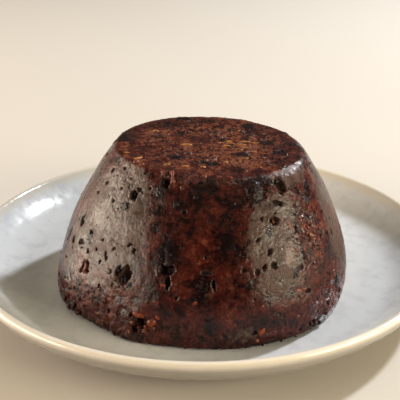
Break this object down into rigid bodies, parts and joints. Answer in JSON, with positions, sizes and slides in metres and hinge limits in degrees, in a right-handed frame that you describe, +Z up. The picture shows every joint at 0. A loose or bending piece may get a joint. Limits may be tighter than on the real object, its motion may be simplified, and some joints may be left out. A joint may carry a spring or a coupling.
{
  "type": "christmas pudding",
  "caption": "Steamed fruit pudding turned out of its basin, a dark truncated dome with pits and dried fruit, resting on its low-rimmed round plate.",
  "frame": {"origin": "on the table, at the centre of the plate's foot ring; the pudding stands a little in front of it", "axes": "+Z up; -Y is the front, the side with the large pits and the glossy raisin patch; +X to the right of it"},
  "size_m": [0.246, 0.246, 0.0812],
  "materials": {
    "pudding_crumb": "dark moist fruit crumb, near-black brown, with a soft wet sheen",
    "dried_fruit": "glossy near-black raisin skin",
    "candied_peel": "sticky orange-brown peel and nut pieces",
    "stoneware_glaze": "glossy pale grey glaze over stoneware, tan where it breaks over the lip"
  },
  "bodies": {
    "root": {"pudding": "pudding_crumb", "plate": "stoneware_glaze"}
  },
  "joints": []
}
